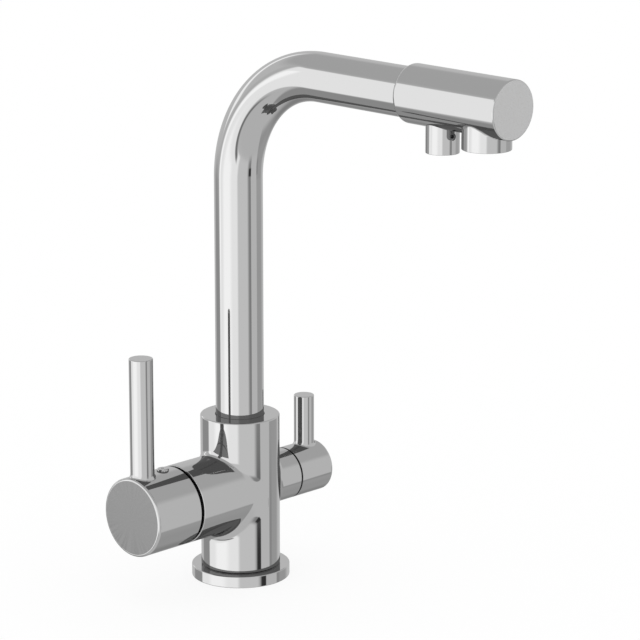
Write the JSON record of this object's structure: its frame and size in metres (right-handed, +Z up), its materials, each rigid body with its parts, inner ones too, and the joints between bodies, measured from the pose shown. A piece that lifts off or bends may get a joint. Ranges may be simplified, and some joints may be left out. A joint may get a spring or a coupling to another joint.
{
  "type": "three way filtered water tap",
  "caption": "Kitchen tap with a right-angled swivel spout, side mixer handle, small filtered-water lever and separate mixed and filtered outlets in a round head.",
  "frame": {"origin": "centre of the base underside on the worktop, at the mouth of the fixing stud's thread", "axes": "+Z up out of the worktop, -Y along the spout, -X towards the mixer handle, +X towards the filtered water handle"},
  "size_m": [0.1488, 0.2358, 0.3209],
  "materials": {
    "chrome": "polished chrome plate",
    "brass": "turned brass",
    "steel": "stainless steel",
    "seal_rubber": "matt black rubber",
    "ceramic": "lapped ceramic",
    "white_plastic": "moulded white plastic",
    "grey_plastic": "moulded grey plastic"
  },
  "bodies": {
    "body": {"body_casting": "chrome", "base_ring": "chrome", "base_gasket": "seal_rubber", "inlet_block": "brass", "spout_set_screw": "steel", "filter_pipe": "brass", "cartridge_seal": "seal_rubber", "cartridge_housing": "white_plastic", "cartridge_fixed_disc": "ceramic", "cartridge_nut": "brass", "valve_seal": "seal_rubber", "valve_body": "brass", "valve_fixed_disc": "ceramic"},
    "spout": {"spout_tube": "chrome", "spout_connector": "brass", "spout_seal_rings": "seal_rubber", "slip_washer": "white_plastic", "filter_water_tube": "white_plastic", "outlet_head": "chrome", "head_end_cap": "chrome", "aerator_housing": "chrome", "aerator_insert": "white_plastic", "aerator_washer": "seal_rubber", "filter_nozzle": "chrome", "flow_straightener": "white_plastic", "nozzle_grub_screw": "steel"},
    "mixer_guide": {"cartridge_guide": "grey_plastic", "tilt_pin": "steel"},
    "mixer_slider": {"cartridge_slide_disc": "ceramic", "disc_driver": "grey_plastic"},
    "mixer_handle": {"cartridge_stem": "brass", "mixer_cap": "chrome", "mixer_lever": "chrome", "mixer_grub_screw": "steel", "index_plug": "chrome"},
    "filter_handle": {"valve_turn_disc": "ceramic", "valve_spindle": "brass", "filter_cap": "chrome", "filter_lever": "chrome", "filter_grub_screw": "steel"}
  },
  "joints": [
    {"name": "spout_swivel", "type": "hinge", "parent": "body", "child": "spout", "pos_m": [0, 0, 0.0979], "axis": [0, 0, 1], "continuous": true},
    {"name": "mixer_turn", "type": "hinge", "parent": "body", "child": "mixer_guide", "pos_m": [-0.06315, 0, 0.0536], "axis": [1, 0, 0], "range_deg": [-45, 45]},
    {"name": "mixer_tilt", "type": "hinge", "parent": "mixer_guide", "child": "mixer_handle", "pos_m": [-0.06315, 0, 0.0536], "axis": [0, -1, 0], "range_deg": [0, 15]},
    {"name": "mixer_slide", "type": "slide", "parent": "mixer_guide", "child": "mixer_slider", "axis": [0, 0, 1], "range_m": [0, 0.0055]},
    {"name": "filter_turn", "type": "hinge", "parent": "body", "child": "filter_handle", "pos_m": [0.0531, 0, 0.0536], "axis": [1, 0, 0], "range_deg": [0, 90]}
  ],
  "couplings": [
    {"joint": "mixer_slide", "follows": "mixer_tilt", "m_per_rad": 0.02094}
  ]
}
